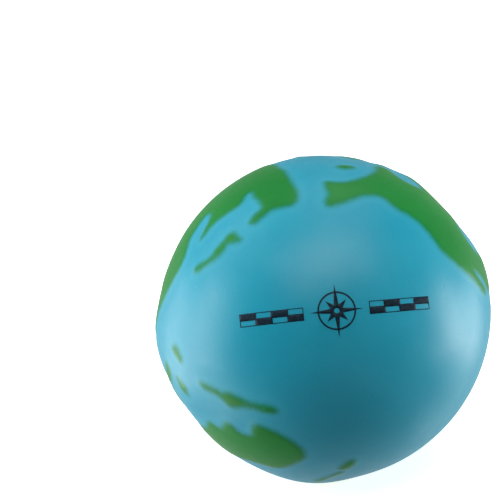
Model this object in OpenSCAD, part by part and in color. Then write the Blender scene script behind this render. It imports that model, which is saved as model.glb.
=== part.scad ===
// Globe stress ball: a one-piece foam moulding with raised continents, painted
// blue and green, with a small ink decoration printed on the Pacific.
// Millimetres. Origin at the centre of the ball, +Z through the north pole,
// the front (-Y) at the middle of the Pacific, east towards +X.

/* [Ball] */
// Diameter across the equator, at sea level
ball_d = 71.6; // [50:0.1:110]
// Height from pole to pole, at sea level (less than the diameter)
ball_h = 68.8; // [48:0.1:105]
// Thickness of the dense skin that the foam forms against the mould
skin_t = 1.2; // [0.6:0.1:3]
// Thickness of the blue sea coat
coat_t = 0.1; // [0.05:0.01:0.3]
// Height of the raised land above the sea
land_h = 0.2; // [0.2:0.1:1.5]

/* [Map] */
// Longitude at the front of the ball
front_lon = 178; // [-180:1:180]
// Spline steps between two neighbouring points of a coastline
coast_steps = 3; // [1:1:4]

/* [Imprint] */
// Width of the printed decoration
imprint_w = 38; // [20:1:45]
// Longitude of its middle
imprint_lon = 183; // [150:1:200]
// Latitude of its middle
imprint_lat = 21; // [-30:1:40]
// Turn of the decoration on the ball, clockwise
imprint_turn = 5; // [-20:1:20]
// Thickness of the ink film
ink_t = 0.08; // [0.05:0.01:0.2]

/* [Hidden] */
$fn = 96;

land_green = [0.22, 0.56, 0.25];
sea_blue = [0.20, 0.62, 0.74];
ink_navy = [0.05, 0.12, 0.20];
foam_cream = [0.90, 0.86, 0.70];

// The ball is where two equal spheres overlap, one pushed down and one pushed
// up by mould_shift, so it is slightly flat at the poles and meets itself in
// the mould's parting line at the equator.
equator_r = ball_d / 2;
pole_r = ball_h / 2;
mould_r = (equator_r * equator_r / pole_r + pole_r) / 2;
mould_shift = mould_r - pole_r;

// The solid cone that cuts a land out of its shell runs between these radii.
cone_start = 1;
cone_end = 1.15 * (equator_r + land_h);

// Coastlines: [longitude, latitude] in degrees, each running clockwise.
EURASIA = [
    // Iberia, the Atlantic coast and the Baltic
    [-9, 15], [-9, 20], [-6, 23], [-5, 28], [-1, 31], [3, 34], [6, 37], [11, 38],
    [17, 38], [21, 38], [24, 40], [30, 41], [36, 41], [36, 45], [33, 50], [28, 54],
    // Scandinavia
    [24, 54], [21, 51], [18, 46], [14, 46], [11, 49], [11, 53], [14, 56], [15, 60],
    // The Arctic coast, to the Bering Strait
    [18, 65], [24, 68], [32, 71], [40, 75], [52, 80], [85, 83], [130, 83], [152, 80],
    [165, 75], [171, 71], [173, 68], [173, 65], [170, 62], [162, 61],
    // Kamchatka, the Sea of Okhotsk and Korea
    [156, 60.5], [150, 57], [147, 54.5], [142.5, 54.5], [143, 58], [146, 61], [142, 63.5],
    [132, 66], [123, 68], [121, 66], [125, 62], [122, 59], [117, 55], [114, 51],
    [113, 46], [111, 45], [109, 49], [105, 53], [99, 54], [96, 52], [98, 47],
    // China and Indochina
    [100, 42], [104, 39], [106, 34], [104, 29], [101, 23], [97, 17], [94, 13],
    [92, 8], [91, 5], [89, 6], [89, 12], [87, 18],
    // India
    [82, 20], [76, 18], [74, 14], [73, 9], [72, 5], [70, 3], [67, 8], [65, 12],
    [60, 18], [56, 23], [53, 27], [50, 28],
    // Arabia and the Levant
    [49, 25], [49, 22], [51, 19], [54, 17], [55, 13], [53, 9], [49, 9], [46, 10],
    [44, 13], [41, 17], [40, 15], [39, 14], [39, 17], [40, 19], [42, 23], [45, 25],
    [46, 28], [45, 30],
    // Turkey, Greece and Italy
    [37, 30], [31, 30], [32, 26], [30, 23], [28, 26], [25, 27], [21, 25], [19, 24],
    [17, 27], [15, 26], [14, 22], [12, 21], [9, 25], [4, 25], [3, 23], [1, 19],
    [-2, 17], [-7, 15]
];
AFRICA = [
    [-5, -4], [-4, 3], [-2, 7], [3, 11], [8, 14], [13, 14], [18, 12], [25, 14],
    [30, 14], [34, 14], [38, 13], [39, 10], [42, 7], [47, 5], [48, 2], [47, -6],
    [45, -17], [44, -26], [41, -35], [37, -42], [31, -46], [26, -43], [20, -32],
    [16, -22], [13, -15], [9, -12], [2, -11], [-3, -8]
];
NORTH_AMERICA = [
    // Alaska and the Arctic coast
    [-168, 61], [-163, 64], [-162, 67], [-157, 71], [-149, 69], [-140, 67],
    [-125, 65.5], [-110, 64], [-96, 63], [-86, 62.5], [-79, 60],
    // Hudson Bay and Labrador
    [-84, 57], [-90, 56], [-95, 52], [-93, 47], [-88, 45], [-82, 46], [-79, 50],
    [-74, 49], [-69, 46.5], [-65, 44], [-67, 42.5],
    // The Atlantic coast and Florida
    [-70, 40], [-75, 37], [-84, 35], [-86, 30], [-83, 27], [-78, 21], [-75, 17],
    [-78, 17], [-83, 22], [-88, 28],
    // The Gulf of Mexico and Central America
    [-94, 29], [-99, 26], [-100, 21], [-97, 16], [-93, 15], [-91, 12], [-91, 6],
    [-86, 3], [-83, 2], [-86, 0], [-91, 1], [-98, 3], [-103, 4],
    // The Gulf of California and its peninsula
    [-105, 8], [-109, 13], [-112, 15], [-110, 11], [-107, 7], [-107, 5], [-110, 6],
    [-113, 9], [-115, 12],
    // The Pacific coast
    [-119, 17], [-122, 21], [-126, 28], [-126, 35], [-127, 42], [-131, 48],
    [-131, 53], [-134, 56], [-142, 58], [-155, 58], [-167, 58]
];
SOUTH_AMERICA = [
    [-81, 2], [-78, 5], [-71, 3], [-64, 1], [-57, -4], [-54, -9], [-55, -14],
    [-59, -20], [-63, -26], [-68, -31], [-73, -36], [-78, -42], [-83, -49],
    [-87, -54], [-91, -50], [-90, -42], [-89, -32], [-88, -22], [-91, -15],
    [-96, -7], [-93, -2], [-86, 0]
];
AUSTRALIA = [
    [112, -25], [119, -23.5], [124, -19.5], [127, -18.5], [130, -20.5], [133, -18.5],
    [136, -16.5], [138, -17.5], [140, -20.5], [144, -21.5], [146, -18.5], [148, -16],
    [151, -16.5], [156, -19.5], [160, -23.5], [162.5, -28], [162, -33], [158, -36],
    [150, -40], [143, -41.5], [136, -39.5], [127, -39], [118, -40], [110, -38],
    [106, -34], [107, -29]
];
ANTARCTICA = [
    [0, -70], [-20, -73], [-40, -78], [-58, -76], [-62, -70], [-56, -64],
    [-61, -63], [-68, -68], [-80, -73], [-100, -73], [-120, -74], [-145, -76],
    [-165, -78], [172, -74], [160, -70], [140, -68], [115, -67], [90, -66],
    [60, -67], [30, -69]
];
GREENLAND = [
    [-52, 51], [-55, 56], [-59, 61], [-64, 64], [-67, 66.5], [-65, 68.5],
    [-57, 69.5], [-48, 69.5], [-43, 68], [-42, 65], [-40, 61], [-40, 56], [-44, 51]
];
BAFFIN_ISLAND = [[-74, 60], [-67, 59], [-64, 55], [-67, 54], [-71, 57]];
VICTORIA_ISLAND = [
    [-119, 75], [-113, 76], [-106, 75], [-103, 72], [-104, 70], [-111, 71], [-118, 73]
];
NEWFOUNDLAND = [[-64, 38], [-64, 40], [-61, 42], [-58, 41], [-59, 38]];
HISPANIOLA = [[-70, 14], [-68, 16], [-62, 15], [-58, 14], [-62, 12], [-68, 12]];
ICELAND = [[-35, 54], [-33, 56], [-28, 55], [-26, 53], [-29, 52], [-34, 52]];
SVALBARD = [[-9, 76], [-5, 78], [1, 77], [0, 75], [-6, 74]];
GREAT_BRITAIN = [
    [-13, 48], [-10, 46], [-7, 44], [-4, 41], [0, 40], [-1, 37], [-4, 35],
    [-7, 34], [-9, 37], [-10, 40], [-11, 44]
];
IRELAND = [[-19, 35], [-21, 37], [-20, 40], [-17, 41], [-16, 39], [-17, 36]];
MADAGASCAR = [
    [52, -33], [50, -30], [52, -26], [56, -22], [61, -21], [60, -24], [57, -30], [55, -34]
];
SRI_LANKA = [[75, -3], [75, 0], [78, 0], [80, -3], [77, -5]];
SUMATRA = [[88, 3], [91, 1], [94, -4], [95, -8], [93, -8], [90, -4], [87, 1]];
JAVA = [[98, -12], [103, -13], [108, -15], [107, -17], [102, -16], [97, -14]];
BORNEO = [[108, 0], [110, -3], [107, -7], [103, -10], [101, -9], [103, -5], [106, -1]];
SULAWESI = [[115, -3], [117, -4], [120, -6], [119, -9], [116, -8], [115, -6]];
PHILIPPINES = [
    [114, 7], [116, 8], [118, 8], [120, 6], [121, 5], [120, 3], [118, 4], [116, 5]
];
NEW_GUINEA = [
    [129, -2], [132, -2], [136, -3], [138.5, -4], [142, -4], [145, -5],
    [148, -6.5], [152, -7.5], [156, -8], [158, -9.5], [157, -11], [153, -10.5],
    [149, -9], [145, -9], [142, -9.5], [140, -9], [138, -6.5], [135.5, -5], [131, -4]
];
JAPAN = [
    [119, 35], [121, 37], [125, 39], [127.5, 41.5], [128.5, 44], [130.5, 46.5],
    [131.5, 49], [134, 50.5], [138, 49.5], [142, 47.5], [138, 46.5], [134.5, 46],
    [134, 43.5], [132.5, 41.5], [130, 39.5], [126.5, 37.5], [124, 35.5], [121, 34]
];
NEW_ZEALAND = [[174, -44], [177, -40], [181, -38], [182, -41], [178, -45]];
SUBANTARCTIC_ISLANDS = [
    [157, -55], [162, -53], [168, -50], [174, -47], [176, -48], [170, -51],
    [163, -55], [158, -57]
];

// Direction of a place on the map, as a unit vector.
function turn_of(lon) = lon - front_lon - 90;
function place(lon, lat) =
    [cos(lat) * cos(turn_of(lon)), cos(lat) * sin(turn_of(lon)), sin(lat)];

function sum(vectors, i = 0) =
    i == len(vectors) ? [0, 0, 0] : vectors[i] + sum(vectors, i + 1);
function unit(v) = v / norm(v);

// Point at fraction t of the curve from b to c, with a before and d after them.
function curve_point(a, b, c, d, t) =
    (2 * b + (c - a) * t + (2 * a - 5 * b + 4 * c - d) * t * t
        + (3 * b - a - 3 * c + d) * t * t * t) / 2;

// Closed smooth curve through the places of a coastline, as unit vectors.
function smooth_coast(coast) =
    let (v = [for (p = coast) place(p[0], p[1])], n = len(v))
    [for (i = [0 : n - 1], s = [0 : coast_steps - 1])
        unit(curve_point(v[(i + n - 1) % n], v[i], v[(i + 1) % n], v[(i + 2) % n],
            s / coast_steps))];

// The ball's outer surface, moved outwards by grow.
module ball(grow = 0) {
    intersection() {
        translate([0, 0, -mould_shift]) sphere(r = mould_r + grow);
        translate([0, 0, mould_shift]) sphere(r = mould_r + grow);
    }
}

module shell(inner, outer) {
    difference() {
        ball(outer);
        ball(inner);
    }
}

// Raised land: the part of a shell over the sea that a cone from the ball's
// centre through the coastline cuts out, so that its walls stand straight up.
module raised_land(coast) {
    curve = smooth_coast(coast);
    middle = unit(sum(curve));
    turn = atan2(middle.y, middle.x);
    tilt = acos(middle.z);
    south = [cos(tilt) * cos(turn), cos(tilt) * sin(turn), -sin(tilt)];
    east = [-sin(turn), cos(turn), 0];
    outline = [for (v = curve) cone_start * [v * south, v * east] / (v * middle)];
    intersection() {
        shell(0, land_h);
        rotate([0, tilt, turn])
            translate([0, 0, cone_start])
                linear_extrude(height = cone_end - cone_start, scale = cone_end / cone_start)
                    polygon(outline);
    }
}

// Eight-pointed star of a compass rose, with long points on the axes.
module star(long_r, short_r, waist_r) {
    polygon([for (i = [0 : 15])
        let (r = i % 4 == 0 ? long_r : i % 4 == 2 ? short_r : waist_r)
        r * [cos(22.5 * i), sin(22.5 * i)]]);
}

// Map scale: two rows of blocks, filled in turn, inside a thin frame.
module scale_bar(length, height, count, line) {
    block = length / count;
    difference() {
        translate([0, -height / 2]) square([length, height]);
        for (i = [0 : count - 1])
            translate([i * block + line / 2, i % 2 == 0 ? line / 2 : line / 2 - height / 2])
                square([block - line, height / 2 - line]);
    }
}

// Decoration printed on the Pacific, drawn flat: a compass rose between two scales.
module decoration() {
    rose_r = 0.14 * imprint_w;
    ring_r = 0.72 * rose_r;
    ring_w = 0.35;
    gap = 1.2;
    bar_h = 2.6;
    bar_start = rose_r + gap;
    difference() {
        star(rose_r, 0.55 * rose_r, 0.24 * rose_r);
        circle(r = 0.1 * rose_r);
    }
    difference() {
        circle(r = ring_r);
        circle(r = ring_r - ring_w);
    }
    for (side = [0, 1])
        mirror([side, 0])
            translate([bar_start, 0])
                scale_bar(imprint_w / 2 - bar_start, bar_h, 4, 0.3);
}

module foam_core() {
    color(foam_cream) ball(-coat_t - skin_t);
}

module integral_skin() {
    color(foam_cream) shell(-coat_t - skin_t, -coat_t);
}

module sea_coat() {
    color(sea_blue) shell(-coat_t, 0);
}

module imprint() {
    color(ink_navy)
        intersection() {
            shell(0, ink_t);
            rotate([0, 90 - imprint_lat, turn_of(imprint_lon)])
                rotate([0, 0, 90 - imprint_turn])
                    linear_extrude(height = cone_end) decoration();
        }
}

module land_eurasia() { color(land_green) raised_land(EURASIA); }
module land_africa() { color(land_green) raised_land(AFRICA); }
module land_north_america() { color(land_green) raised_land(NORTH_AMERICA); }
module land_south_america() { color(land_green) raised_land(SOUTH_AMERICA); }
module land_australia() { color(land_green) raised_land(AUSTRALIA); }
module land_antarctica() { color(land_green) raised_land(ANTARCTICA); }
module land_greenland() { color(land_green) raised_land(GREENLAND); }
module land_baffin_island() { color(land_green) raised_land(BAFFIN_ISLAND); }
module land_victoria_island() { color(land_green) raised_land(VICTORIA_ISLAND); }
module land_newfoundland() { color(land_green) raised_land(NEWFOUNDLAND); }
module land_hispaniola() { color(land_green) raised_land(HISPANIOLA); }
module land_iceland() { color(land_green) raised_land(ICELAND); }
module land_svalbard() { color(land_green) raised_land(SVALBARD); }
module land_great_britain() { color(land_green) raised_land(GREAT_BRITAIN); }
module land_ireland() { color(land_green) raised_land(IRELAND); }
module land_madagascar() { color(land_green) raised_land(MADAGASCAR); }
module land_sri_lanka() { color(land_green) raised_land(SRI_LANKA); }
module land_sumatra() { color(land_green) raised_land(SUMATRA); }
module land_java() { color(land_green) raised_land(JAVA); }
module land_borneo() { color(land_green) raised_land(BORNEO); }
module land_sulawesi() { color(land_green) raised_land(SULAWESI); }
module land_philippines() { color(land_green) raised_land(PHILIPPINES); }
module land_new_guinea() { color(land_green) raised_land(NEW_GUINEA); }
module land_japan() { color(land_green) raised_land(JAPAN); }
module land_new_zealand() { color(land_green) raised_land(NEW_ZEALAND); }
module land_subantarctic_islands() { color(land_green) raised_land(SUBANTARCTIC_ISLANDS); }

foam_core();
integral_skin();
sea_coat();
imprint();
land_eurasia();
land_africa();
land_north_america();
land_south_america();
land_australia();
land_antarctica();
land_greenland();
land_baffin_island();
land_victoria_island();
land_newfoundland();
land_hispaniola();
land_iceland();
land_svalbard();
land_great_britain();
land_ireland();
land_madagascar();
land_sri_lanka();
land_sumatra();
land_java();
land_borneo();
land_sulawesi();
land_philippines();
land_new_guinea();
land_japan();
land_new_zealand();
land_subantarctic_islands();
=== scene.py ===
"""Looks of the globe stress ball: the soft painted skin, its raised lands, the ink imprint and the foam inside.

Every shape starts from the CAD nodes: the ball from the sea coat's size, each land from its own outline, and the
imprint from its own faces. Lengths are metres in the CAD frame, and MM turns millimetres into metres.
"""

import math

import bmesh
import bpy
import numpy as np
from mathutils import Matrix, Vector, geometry, kdtree, noise


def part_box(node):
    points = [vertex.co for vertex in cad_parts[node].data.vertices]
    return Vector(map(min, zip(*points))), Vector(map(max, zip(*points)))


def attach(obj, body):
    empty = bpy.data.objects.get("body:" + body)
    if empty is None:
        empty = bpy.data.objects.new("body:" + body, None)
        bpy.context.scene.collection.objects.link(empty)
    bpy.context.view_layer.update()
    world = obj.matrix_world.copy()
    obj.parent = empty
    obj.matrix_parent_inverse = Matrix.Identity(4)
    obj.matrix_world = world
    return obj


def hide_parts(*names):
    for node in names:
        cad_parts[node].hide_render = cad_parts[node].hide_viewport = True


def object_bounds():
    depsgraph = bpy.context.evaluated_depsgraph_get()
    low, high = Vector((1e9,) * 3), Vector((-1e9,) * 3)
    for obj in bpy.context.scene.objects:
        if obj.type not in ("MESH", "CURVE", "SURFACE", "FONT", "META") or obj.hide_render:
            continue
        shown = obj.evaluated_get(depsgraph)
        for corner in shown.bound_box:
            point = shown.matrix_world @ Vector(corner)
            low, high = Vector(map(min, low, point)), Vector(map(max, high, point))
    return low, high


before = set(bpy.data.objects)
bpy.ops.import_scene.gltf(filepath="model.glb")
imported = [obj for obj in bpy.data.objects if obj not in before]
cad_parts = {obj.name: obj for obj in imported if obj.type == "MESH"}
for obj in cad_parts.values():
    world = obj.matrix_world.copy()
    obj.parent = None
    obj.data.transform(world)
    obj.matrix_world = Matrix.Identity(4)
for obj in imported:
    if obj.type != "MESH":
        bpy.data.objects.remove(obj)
cad_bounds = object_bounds()

MM = 0.001
BODY = "root"
LANDS = sorted(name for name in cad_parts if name.startswith("land_"))

# The ball: two spheres of mould_r that overlap, each moved mould_shift along Z.
ball_low, ball_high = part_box("sea_coat")
EQUATOR_R = ball_high.x
POLE_R = ball_high.z
MOULD_R = (EQUATOR_R**2 / POLE_R + POLE_R) / 2
MOULD_SHIFT = MOULD_R - POLE_R
LAND_H = -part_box("land_antarctica")[0].z - POLE_R
CORE_DEPTH = EQUATOR_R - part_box("foam_core")[1].x
FRONT_LON = 178

# Fine shape of the moulding.
PARTING_ROUND = 0.07  # how far the mould's parting line is rounded off, as a sine of latitude
COAST_HALF = 1.5 * MM  # half the width of the slope between sea and land
UNEVEN = 0.05 * MM  # height of the gentle unevenness of the whole surface
UNEVEN_SIZE = 9 * MM
# Bulges (above 0) and flats (below 0) of the soft ball: longitude, latitude, height in mm, width in degrees.
LUMPS = [
    (-89, 12, 0.45, 9),
    (-80, 31, -0.55, 12),
    (-68, 45, 0.5, 11),
    (0, 72, 0.3, 16),
    (95, 32, -0.6, 22),
    (88, 5, 0.35, 9),
    (100, -26, -0.45, 13),
    (142, -65, 0.75, 15),
    (-172, -70, -0.15, 10),
    (-120, -50, -0.1, 25),
]

# Mesh sizes.
SKIN_CELLS = 112  # cells along each side of the six faces of the skin's outer surface
INNER_CELLS = 32
CORE_CELLS = 64
SAMPLE = 0.25 * MM  # step along a coastline
GRID = 0.55 * MM  # step of the points inside a land
SHOULDER_RINGS = (0.22 * MM, 0.5 * MM)
SKIRT_DEPTH = 0.4 * MM  # how deep a land is rooted under the sea
TUCK = 0.012 * MM  # how far a land's edge is tucked under the sea
COAST_REACH = 4 * MM  # beyond this, the distance to a coast doesn't matter
INK_STEP = 0.8 * MM  # longest edge of the imprint
INK_RISE = 0.05 * MM  # how far the ink stands above the sea
INK_ROOT = 0.1 * MM  # and how deep it reaches
SHARP_ANGLE = math.radians(50)

# Colours, linear RGB.
SEA = (0.012, 0.34, 0.488)
SEA_PALE = (0.038, 0.41, 0.548)
LAND = (0.01, 0.243, 0.038)
LAND_DARK = (0.006, 0.187, 0.027)
INK = (0.002, 0.009, 0.022)
INK_THIN = (0.004, 0.04, 0.065)
FOAM = (0.80, 0.72, 0.50)
# painted shade: a darker cream for the inside of the foam's cells
FOAM_PIT_SHADE = (0.55, 0.47, 0.28)
FLOOR = (0.86, 0.86, 0.86)

# Specular level of the paints: the green is a little more matt.
SEA_GLOSS = 0.33
LAND_GLOSS = 0.22

# Paint, in mm. Where each change starts and ends is measured inland from the coast, and out at sea is below 0.
SPRAY_START = -1.2
SPRAY_END = 1.0
SPRAY_WANDER = 0.15
SHALLOWS_START = -3.0  # a paler band of sea along the coast
SHALLOWS_END = -1.2
SHALLOWS_SHARE = 0.3
SHORE_START = 0.3  # a darker band of land along the coast
SHORE_END = 1.4
SHORE_SHARE = 0.35
GLOSS_START = -0.6
GLOSS_END = 0.4
WANDER_SIZE = 1.1
PATCH_SIZE = 16
GRAIN_SIZE = 0.35
PEEL_SIZE = 0.8
PIT_SIZE = 1.3
PIT_SHARE = 0.05  # of the surface's cells

# Foam cells.
CELL_SIZE = 0.8 * MM
CELL_DEPTH = 0.2 * MM

# Camera: where it stands round the ball, and where the ball is in its picture.
CAMERA_ELEVATION = math.radians(19.5)
CAMERA_ROLL = math.radians(9)
CAMERA_DISTANCE = 0.42
LENS = 141.1
SENSOR = 36.0
BALL_RIGHT = 0.1462  # from the picture's middle, as a share of its width
BALL_DOWN = 0.1356

# Stage: the floor, and the studio's own light from behind and from below.
FLOOR_SIZE = 8.0
FLOOR_GLOW = 0.85
GLOW_BEHIND = 0.26
GLOW_BELOW = 0.3

# Softboxes: name, direction from the ball (right, up and back as the camera sees it), distance, width, height, watts.
SOFTBOXES = [
    ("left_back", (-0.88, -0.10, -0.46), 0.45, 0.24, 0.34, 0.68),
    ("left_side", (-0.97, -0.02, 0.08), 0.45, 0.20, 0.34, 1.05),
    ("left_low", (-0.80, -0.55, -0.10), 0.45, 0.30, 0.30, 0.5),
    ("left_high", (-0.75, 0.62, 0.05), 0.45, 0.35, 0.35, 0.45),
    ("right_back", (0.90, -0.04, -0.44), 0.45, 0.18, 0.24, 0.6),
    ("right_side", (0.99, 0.0, -0.05), 0.45, 0.15, 0.28, 1.1),
    ("right_low", (0.75, -0.45, -0.50), 0.45, 0.30, 0.30, 0.17),
    ("overhead", (0.1, 1.0, 0.0), 0.60, 0.40, 0.40, 0.6),
    ("top_front", (0.03, 0.70, 0.72), 0.60, 0.20, 0.14, 0.4),
    ("top_wide", (0.03, 0.70, 0.72), 0.60, 0.70, 0.40, 2.3),
]


def unit(v):
    return v / np.linalg.norm(v, axis=-1, keepdims=True)


def place(lon, lat):
    """Direction of a place on the map."""
    turn = math.radians(lon - FRONT_LON - 90)
    lat = math.radians(lat)
    return np.array([math.cos(lat) * math.cos(turn), math.cos(lat) * math.sin(turn), math.sin(lat)])


def level(points):
    """How far points stand out from the CAD ball at sea level."""
    down = np.linalg.norm(points - [0, 0, -MOULD_SHIFT], axis=1)
    up = np.linalg.norm(points - [0, 0, MOULD_SHIFT], axis=1)
    return np.maximum(down, up) - MOULD_R


def ball_radius(directions):
    """Radius of the ball at sea level, with the parting line rounded off."""
    rise = directions[:, 2]
    smooth_rise = np.sqrt(rise**2 + PARTING_ROUND**2)
    return np.sqrt(MOULD_R**2 - MOULD_SHIFT**2 * (1 - rise**2)) - MOULD_SHIFT * smooth_rise


def lump_height(directions):
    """The soft ball's bulges and flats, and its gentle unevenness."""
    height = np.zeros(len(directions))
    for lon, lat, peak, width in LUMPS:
        angle = np.degrees(np.arccos(np.clip(directions @ place(lon, lat), -1, 1)))
        height += peak * MM * np.exp(-((angle / width) ** 2))
    scale = EQUATOR_R / UNEVEN_SIZE
    height += UNEVEN * np.array([noise.noise(Vector(d * scale)) for d in directions])
    return height


def smoothstep(x):
    x = np.clip(x, 0, 1)
    return x * x * (3 - 2 * x)


def slope(coast):
    """Height of the surface at a signed distance from the coast, which is above 0 on land."""
    return LAND_H * smoothstep((coast + COAST_HALF) / (2 * COAST_HALF))


def mesh_object(name, vertices, faces):
    mesh = bpy.data.meshes.new(name)
    mesh.from_pydata([tuple(v) for v in vertices], [], [tuple(int(i) for i in f) for f in faces])
    return shown(name, mesh)


def shown(name, mesh):
    """A smooth-shaded object of that mesh, with its sharp edges kept sharp."""
    mesh.update()
    mesh.shade_smooth()
    mesh.set_sharp_from_angle(angle=SHARP_ANGLE)
    obj = bpy.data.objects.new(name, mesh)
    bpy.context.scene.collection.objects.link(obj)
    return obj


def set_attribute(obj, name, values):
    attribute = obj.data.attributes.new(name, "FLOAT", "POINT")
    attribute.data.foreach_set("value", np.asarray(values, np.float32))


# --- Coastlines ---------------------------------------------------------------------------------------------------


def top_outline(node):
    """The outline of a CAD land's top face, as directions."""
    bm = bmesh.new()
    bm.from_mesh(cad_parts[node].data)
    bmesh.ops.remove_doubles(bm, verts=bm.verts, dist=0.001 * MM)
    heights = level(np.array([v.co for v in bm.verts]))
    high = {v for v, h in zip(bm.verts, heights) if h > LAND_H / 2}
    following = {}
    for edge in bm.edges:
        on_top = [f for f in edge.link_faces if all(v in high for v in f.verts)]
        if len(on_top) == 1:
            for loop in edge.link_loops:
                if loop.face is on_top[0]:
                    following[loop.vert] = loop.link_loop_next.vert
    loops = []
    while following:
        start = next(iter(following))
        loop = []
        vert = start
        while vert in following:
            loop.append(vert.co.copy())
            vert = following.pop(vert)
        loops.append(loop)
    outline = unit(np.array(max(loops, key=len)))
    bm.free()
    return outline


def resample(outline, step):
    """The same closed outline at even steps, with its corners eased."""
    closed = np.vstack([outline, outline[:1]])
    lengths = np.linalg.norm(np.diff(closed, axis=0), axis=1) * EQUATOR_R
    along = np.concatenate([[0], np.cumsum(lengths)])
    count = max(12, round(along[-1] / step))
    where = np.arange(count) * along[-1] / count
    even = np.stack([np.interp(where, along, closed[:, k]) for k in range(3)], axis=1)
    for _ in range(4):
        even = (np.roll(even, 1, axis=0) + 2 * even + np.roll(even, -1, axis=0)) / 4
    return unit(even)


class Coasts:
    """Signed distance to the nearest of some coastlines, each running with its land on the left."""

    def __init__(self, outlines):
        self.start = np.vstack(outlines)
        self.end = np.vstack([np.roll(o, -1, axis=0) for o in outlines])
        self.before = np.concatenate(
            [np.roll(np.arange(len(o)), 1) + offset for o, offset in zip(outlines, self.offsets(outlines))]
        )
        self.tree = kdtree.KDTree(len(self.start))
        for i, point in enumerate(self.start):
            self.tree.insert(point, i)
        self.tree.balance()

    @staticmethod
    def offsets(outlines):
        return np.concatenate([[0], np.cumsum([len(o) for o in outlines])[:-1]])

    def to_segment(self, points, index):
        start, end = self.start[index], self.end[index]
        run = end - start
        share = np.clip(((points - start) * run).sum(1) / (run**2).sum(1), 0, 1)
        gap = points - start - share[:, None] * run
        side = (np.cross(start, run) * gap).sum(1)
        return np.linalg.norm(gap, axis=1), side

    def distance(self, directions):
        index = np.array([self.tree.find(d)[1] for d in directions])
        ahead, ahead_side = self.to_segment(directions, index)
        behind, behind_side = self.to_segment(directions, self.before[index])
        nearer = ahead <= behind
        size = np.where(nearer, ahead, behind) * EQUATOR_R
        tied = np.abs(ahead - behind) < 1e-9
        side = np.where(tied, ahead_side + behind_side, np.where(nearer, ahead_side, behind_side))
        return np.clip(np.where(side > 0, size, -size), -COAST_REACH, COAST_REACH)


# --- Pieces -------------------------------------------------------------------------------------------------------


def cube_sphere(cells):
    """Directions and quads of a sphere made from a cube's six faces, each with cells by cells quads."""
    steps = np.tan(np.linspace(-math.pi / 4, math.pi / 4, cells + 1))
    u, v = np.meshgrid(steps, steps, indexing="ij")
    ones = np.ones_like(u)
    corners = np.arange((cells + 1) ** 2).reshape(cells + 1, cells + 1)
    quads = np.stack([corners[:-1, :-1], corners[1:, :-1], corners[1:, 1:], corners[:-1, 1:]], axis=-1)
    points, faces = [], []
    for axis in range(3):
        for sign in (1, -1):
            side = np.roll(np.stack([sign * ones, u, sign * v], axis=-1).reshape(-1, 3), axis, axis=1)
            faces.append(quads.reshape(-1, 4) + len(points) * len(side))
            points.append(side)
    points = unit(np.vstack(points))
    _, first, same = np.unique(np.round(points, 7), axis=0, return_index=True, return_inverse=True)
    return points[first], same.reshape(-1)[np.vstack(faces)]


def make_skin(coasts):
    """The moulded skin with its sea coat: a closed shell whose inside fits the foam."""
    outer, outer_faces = cube_sphere(SKIN_CELLS)
    inner, inner_faces = cube_sphere(INNER_CELLS)
    coast = coasts.distance(outer)
    rise = slope(coast) * (1 - smoothstep(coast / (2 * COAST_HALF)))
    outside = outer * (ball_radius(outer) + lump_height(outer) + rise)[:, None]
    inside = inner * (ball_radius(inner) - CORE_DEPTH + TUCK)[:, None]
    faces = np.vstack([outer_faces, inner_faces[:, ::-1] + len(outer)])
    skin = mesh_object("painted_skin", np.vstack([outside, inside]), faces)
    set_attribute(skin, "coast", np.concatenate([coast, np.full(len(inner), -COAST_REACH)]) / MM)
    return skin


class EqualAreaMap:
    """A flat map of the ball, in metres, around the middle of an outline."""

    def __init__(self, outline):
        self.middle = unit(outline.mean(axis=0))
        sideways = [0, 0, 1] if abs(self.middle[2]) < 0.9 else [1, 0, 0]
        self.across = unit(np.cross(self.middle, sideways))
        self.upward = np.cross(self.middle, self.across)

    def flatten(self, directions):
        scale = EQUATOR_R * math.sqrt(2) / np.sqrt(1 + directions @ self.middle)
        return np.stack([directions @ self.across, directions @ self.upward], axis=1) * scale[:, None]

    def directions(self, flat):
        half = np.linalg.norm(flat, axis=1) / (2 * EQUATOR_R)
        tall = 1 - 2 * half**2
        wide = np.sqrt(np.clip(1 - half**2, 0, 1))
        flat = flat / EQUATOR_R * wide[:, None]
        return unit(flat[:, :1] * self.across + flat[:, 1:] * self.upward + tall[:, None] * self.middle)


def points_on_land(outline, own_coast, flat_map):
    """The outline, the rings of its shoulder and an even grid of points inside them, as directions."""
    inward = unit(np.cross(outline, np.roll(outline, -1, axis=0) - np.roll(outline, 1, axis=0)))
    parts = [outline]
    for depth in SHOULDER_RINGS:
        ring = unit(outline[::2] + inward[::2] * depth / EQUATOR_R)
        parts.append(ring[own_coast.distance(ring) > 0.9 * depth])
    rim = flat_map.flatten(outline)
    low, high = rim.min(axis=0), rim.max(axis=0)
    columns = np.arange(low[0], high[0], GRID)
    rows = np.arange(low[1], high[1], GRID * math.sqrt(3) / 2)
    x, y = np.meshgrid(columns, rows, indexing="ij")
    x[:, ::2] += GRID / 2
    grid = flat_map.directions(np.stack([x.ravel(), y.ravel()], axis=1))
    parts.append(grid[own_coast.distance(grid) > SHOULDER_RINGS[-1] + GRID / 2])
    return np.vstack(parts)


def triangulate(flat, rim_count):
    """Triangles inside the rim, which is the first points: the kept points, the triangles and the rim among them."""
    edges = [(i, (i + 1) % rim_count) for i in range(rim_count)]
    points = [Vector(p) for p in flat / MM]
    _, _, triangles, origins, _, _ = geometry.delaunay_2d_cdt(points, edges, [], 1, 1e-6)
    if any(len(o) == 0 for o in origins):
        raise RuntimeError("an outline crosses itself")
    position = np.empty(len(flat), int)
    for new, old in enumerate(origins):
        position[old] = new
    return [o[0] for o in origins], np.array(triangles), position[:rim_count]


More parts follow.
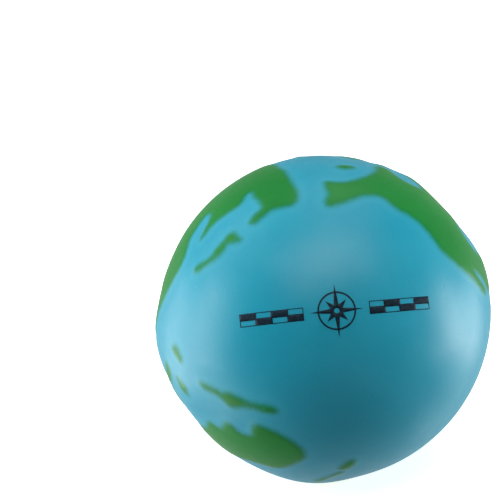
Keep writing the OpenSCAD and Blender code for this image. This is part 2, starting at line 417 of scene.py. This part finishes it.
def make_land(node, outline):
    """A raised land: a closed plate that follows the ball, with rounded shoulders at its coast."""
    own_coast = Coasts([outline])
    flat_map = EqualAreaMap(outline)
    directions = points_on_land(outline, own_coast, flat_map)
    kept, triangles, rim_loop = triangulate(flat_map.flatten(directions), len(outline))
    directions = directions[kept]

    coast = own_coast.distance(directions)
    coast[rim_loop] = 0
    edge_tuck = TUCK * np.clip(1 - coast / SHOULDER_RINGS[-1], 0, 1)
    base = ball_radius(directions) + lump_height(directions)
    top = directions * (base + slope(coast) - edge_tuck)[:, None]
    bottom = directions * (base - SKIRT_DEPTH)[:, None]
    total = len(directions)
    ahead = np.roll(rim_loop, -1)
    skirt = np.stack([ahead, rim_loop, rim_loop + total, ahead + total], axis=1)
    corner = top[triangles]
    outward = (np.cross(corner[:, 1] - corner[:, 0], corner[:, 2] - corner[:, 0]) * corner[:, 0]).sum(1)
    triangles = np.where((outward > 0)[:, None], triangles, triangles[:, ::-1])
    faces = [*triangles, *(triangles[:, ::-1] + total), *skirt]
    land = mesh_object(node.removeprefix("land_") + "_relief", np.vstack([top, bottom]), faces)
    set_attribute(land, "coast", np.concatenate([coast, coast]) / MM)
    return land


def make_imprint():
    """The printed decoration: the CAD imprint's own shape, laid on the uneven skin."""
    bm = bmesh.new()
    bm.from_mesh(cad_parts["imprint"].data)
    bmesh.ops.remove_doubles(bm, verts=bm.verts, dist=0.001 * MM)
    while long_edges := [e for e in bm.edges if e.calc_length() > INK_STEP]:
        bmesh.ops.subdivide_edges(bm, edges=long_edges, cuts=1)
        bmesh.ops.triangulate(bm, faces=[f for f in bm.faces if len(f.verts) > 3])
    points = np.array([v.co for v in bm.verts])
    heights = level(points)
    directions = unit(points)
    sea = ball_radius(directions) + lump_height(directions)
    offset = np.where(heights > heights.max() / 2, INK_RISE, -INK_ROOT)
    for vert, direction, radius in zip(bm.verts, directions, sea + offset):
        vert.co = Vector(direction * radius)
    mesh = bpy.data.meshes.new("ocean_imprint")
    bm.to_mesh(mesh)
    bm.free()
    return shown("ocean_imprint", mesh)


def make_core():
    """The foam inside, with the small pits of its cells."""
    directions, faces = cube_sphere(CORE_CELLS)
    pits = np.array([abs(noise.noise(Vector(d * EQUATOR_R / CELL_SIZE))) for d in directions])
    radius = ball_radius(directions) - CORE_DEPTH - CELL_DEPTH * pits
    return mesh_object("foam_body", directions * radius[:, None], faces)


# --- Materials ----------------------------------------------------------------------------------------------------


class Graph:
    """A material's nodes, with its Principled shader and positions on the ball in millimetres."""

    def __init__(self, name):
        self.material = bpy.data.materials.new(name)
        self.material.use_nodes = True
        self.tree = self.material.node_tree
        self.shader = self.tree.nodes["Principled BSDF"]
        coordinates = self.add("ShaderNodeTexCoord")
        self.millimetres = self.add("ShaderNodeMapping", {"Vector": coordinates.outputs["Object"]})
        self.millimetres.inputs["Scale"].default_value = (1 / MM,) * 3

    def add(self, kind, inputs=None, **settings):
        node = self.tree.nodes.new(kind)
        for key, value in settings.items():
            setattr(node, key, value)
        for key, value in (inputs or {}).items():
            self.set(node, key, value)
        return node

    def set(self, node, key, value):
        if isinstance(value, bpy.types.NodeSocket):
            self.tree.links.new(value, node.inputs[key])
        else:
            node.inputs[key].default_value = value

    def noise(self, size, detail=2.0, roughness=0.5):
        """Noise from 0 to 1 whose features are size millimetres across."""
        node = self.add(
            "ShaderNodeTexNoise",
            {"Vector": self.millimetres.outputs[0], "Scale": 1 / size, "Detail": detail, "Roughness": roughness},
        )
        return node.outputs["Fac"]

    def ramp(self, value, low, high, to_low=0.0, to_high=1.0, smooth=True):
        node = self.add(
            "ShaderNodeMapRange",
            {"Value": value, "From Min": low, "From Max": high, "To Min": to_low, "To Max": to_high},
            interpolation_type="SMOOTHSTEP" if smooth else "LINEAR",
        )
        return node.outputs["Result"]

    def maths(self, operation, first, second=0.0):
        node = self.add("ShaderNodeMath", {0: first, 1: second}, operation=operation)
        return node.outputs[0]

    def mix(self, share, first, second):
        node = self.add("ShaderNodeMix", {"Factor": share}, data_type="RGBA")
        for key, value in ((6, first), (7, second)):
            self.set(node, key, value if isinstance(value, bpy.types.NodeSocket) else (*value, 1.0))
        return node.outputs[2]

    def bump(self, height, depth, below=None):
        """Bump whose height of 1 stands depth metres out, on top of another bump."""
        inputs = {"Height": height, "Distance": depth, "Strength": 1.0}
        if below is not None:
            inputs["Normal"] = below
        return self.add("ShaderNodeBump", inputs).outputs["Normal"]

    def pits(self, size, share):
        """Round pits on a share of the cells of a grid of that size, as heights from 1 down to 0."""
        cells = self.add(
            "ShaderNodeTexVoronoi",
            {"Vector": self.millimetres.outputs[0], "Scale": 1 / size, "Randomness": 1.0},
        )
        chosen = self.add("ShaderNodeSeparateColor", {"Color": cells.outputs["Color"]}).outputs["Red"]
        outside = self.ramp(cells.outputs["Distance"], 0.12, 0.28)
        return self.maths("MAXIMUM", outside, self.ramp(chosen, share, share + 0.01))


def paint(name):
    """Flexible satin paint on moulded foam: blue sea, green land, and a sprayed blend where they meet."""
    g = Graph(name)
    distance = g.add("ShaderNodeAttribute", attribute_name="coast", attribute_type="GEOMETRY").outputs["Fac"]
    wander = g.ramp(g.noise(WANDER_SIZE, detail=3), 0.3, 0.7, -SPRAY_WANDER, SPRAY_WANDER, smooth=False)
    coast = g.maths("ADD", distance, wander)
    patches = g.ramp(g.noise(PATCH_SIZE, detail=3), 0.35, 0.65)
    grain = g.noise(GRAIN_SIZE, detail=4, roughness=0.7)
    sea = g.mix(g.maths("MULTIPLY", patches, 0.35), SEA, SEA_PALE)
    sea = g.mix(g.ramp(coast, SHALLOWS_START, SHALLOWS_END, 0, SHALLOWS_SHARE), sea, SEA_PALE)
    land = g.mix(g.maths("MULTIPLY", patches, 0.4), LAND, LAND_DARK)
    land = g.mix(g.ramp(coast, SHORE_START, SHORE_END, SHORE_SHARE, 0), land, LAND_DARK)
    colour = g.mix(g.ramp(coast, SPRAY_START, SPRAY_END), sea, land)
    speckle = g.ramp(grain, 0.25, 0.75, 0.93, 1.05, smooth=False)
    tone = g.add("ShaderNodeHueSaturation", {"Color": colour, "Value": speckle})
    g.set(g.shader, "Base Color", tone.outputs["Color"])
    g.set(g.shader, "Roughness", g.ramp(g.noise(2.5, detail=4), 0.3, 0.7, 0.32, 0.40, smooth=False))
    skin = g.bump(g.noise(PEEL_SIZE, detail=3), 0.012 * MM)
    skin = g.bump(g.pits(PIT_SIZE, PIT_SHARE), 0.03 * MM, skin)
    skin = g.bump(grain, 0.005 * MM, skin)
    g.set(g.shader, "Normal", skin)
    g.set(g.shader, "Specular IOR Level", g.ramp(coast, GLOSS_START, GLOSS_END, SEA_GLOSS, LAND_GLOSS))
    return g.material


def ink(name):
    """Pad-printed ink: matt, a little thin in places."""
    g = Graph(name)
    cover = g.ramp(g.noise(0.5, detail=4, roughness=0.7), 0.25, 0.6)
    g.set(g.shader, "Base Color", g.mix(cover, INK_THIN, INK))
    g.set(g.shader, "Roughness", g.ramp(g.noise(0.8, detail=3), 0.3, 0.7, 0.45, 0.6, smooth=False))
    g.set(g.shader, "Normal", g.bump(g.noise(0.6, detail=4), 0.008 * MM))
    g.shader.inputs["Specular IOR Level"].default_value = 0.2
    return g.material


def foam(name):
    """Open-cell foam: cream, with small round cells, each painted darker inside as shade."""
    g = Graph(name)
    cells = g.pits(0.7, 0.9)
    # painted shade: the pits of the cells are coloured darker than the foam
    g.set(g.shader, "Base Color", g.mix(cells, FOAM_PIT_SHADE, FOAM))
    g.set(g.shader, "Normal", g.bump(cells, 0.15 * MM))
    g.shader.inputs["Roughness"].default_value = 0.9
    return g.material


def floor_material():
    """A pale sweep that glows a little, so that the ball's shadow on it stays faint."""
    g = Graph("pale_floor")
    g.shader.inputs["Base Color"].default_value = (*FLOOR, 1.0)
    g.shader.inputs["Roughness"].default_value = 0.7
    g.shader.inputs["Emission Color"].default_value = (1.0, 1.0, 1.0, 1.0)
    g.shader.inputs["Emission Strength"].default_value = FLOOR_GLOW
    return g.material


# --- Camera, lights and stage -------------------------------------------------------------------------------------


def camera_axes():
    """Right, up and back of a camera that looks at the ball's middle, rolled so that the pole leans left."""
    up_unrolled = Vector((0, math.sin(CAMERA_ELEVATION), math.cos(CAMERA_ELEVATION)))
    right_unrolled = Vector((1, 0, 0))
    back = Vector((0, -math.cos(CAMERA_ELEVATION), math.sin(CAMERA_ELEVATION)))
    right = math.cos(CAMERA_ROLL) * right_unrolled - math.sin(CAMERA_ROLL) * up_unrolled
    return right, back.cross(right), back


def add_camera():
    data = bpy.data.cameras.new("camera")
    data.lens = LENS
    data.sensor_width = SENSOR
    data.clip_end = 50
    camera = bpy.data.objects.new("camera", data)
    bpy.context.scene.collection.objects.link(camera)
    right, up, back = camera_axes()
    facing = Matrix((right, up, back)).transposed()
    ball = Vector((BALL_RIGHT * SENSOR, -BALL_DOWN * SENSOR, -LENS))
    aside = ball.rotation_difference(Vector((0, 0, -1))).to_matrix()
    camera.matrix_world = Matrix.Translation(back * CAMERA_DISTANCE) @ (facing @ aside).to_4x4()
    bpy.context.scene.camera = camera


def softbox(name, towards, distance, width, height, power):
    """A rectangular light that faces the ball."""
    right, up, back = camera_axes()
    direction = (towards[0] * right + towards[1] * up + towards[2] * back).normalized()
    data = bpy.data.lights.new(name, "AREA")
    data.shape = "RECTANGLE"
    data.size = width
    data.size_y = height
    data.energy = power
    light = bpy.data.objects.new(name, data)
    bpy.context.scene.collection.objects.link(light)
    light.location = direction * distance
    light.rotation_euler = direction.to_track_quat("Z", "Y").to_euler()


def add_floor():
    size = FLOOR_SIZE / 2
    corners = [(-size, -size), (size, -size), (size, size), (-size, size)]
    floor = mesh_object("floor", [(x, y, cad_bounds[0].z) for x, y in corners], [(0, 1, 2, 3)])
    floor.data.materials.append(floor_material())
    floor.visible_diffuse = False  # the floor doesn't light the ball, show in its gloss or shade it
    floor.visible_glossy = False
    floor.visible_shadow = False


def add_surroundings():
    """A white studio, whose own light on the ball is dim and comes from below and behind."""
    world = bpy.data.worlds.new("studio")
    bpy.context.scene.world = world
    world.use_nodes = True
    nodes, links = world.node_tree.nodes, world.node_tree.links
    direction = nodes.new("ShaderNodeSeparateXYZ")
    links.new(nodes.new("ShaderNodeTexCoord").outputs["Generated"], direction.inputs[0])
    glow = nodes.new("ShaderNodeMath")
    for slot, (axis, low, high) in enumerate((("Y", 0.0, GLOW_BEHIND), ("Z", GLOW_BELOW, 0.0))):
        part = nodes.new("ShaderNodeMapRange")
        part.interpolation_type = "SMOOTHSTEP"
        for key, value in (("From Min", -0.6), ("From Max", 0.6), ("To Min", low), ("To Max", high)):
            part.inputs[key].default_value = value
        links.new(direction.outputs[axis], part.inputs["Value"])
        links.new(part.outputs["Result"], glow.inputs[slot])
    seen = nodes.new("ShaderNodeMath")
    seen.operation = "MAXIMUM"
    links.new(glow.outputs[0], seen.inputs[0])
    links.new(nodes.new("ShaderNodeLightPath").outputs["Is Camera Ray"], seen.inputs[1])
    background = nodes["Background"]
    background.inputs["Color"].default_value = (1.0, 1.0, 1.0, 1.0)
    links.new(seen.outputs[0], background.inputs["Strength"])


# --- The model ----------------------------------------------------------------------------------------------------


def finish_piece(piece, material, slot, *nodes):
    piece.data.materials.append(material)
    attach(piece, BODY)
    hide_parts(*nodes)


add_camera()
add_floor()
add_surroundings()
for settings in SOFTBOXES:
    softbox(*settings)

outlines = {node: resample(top_outline(node), SAMPLE) for node in LANDS}
skin = make_skin(Coasts(list(outlines.values())))
finish_piece(skin, paint("sea_paint"), "sea_paint", "integral_skin", "sea_coat")
land_paint = paint("land_paint")
for node, outline in outlines.items():
    finish_piece(make_land(node, outline), land_paint, "land_paint", node)
finish_piece(make_imprint(), ink("ink"), "ink", "imprint")
core = make_core()
finish_piece(core, foam("foam"), "foam", "foam_core")

bpy.context.scene.view_settings.view_transform = "Standard"
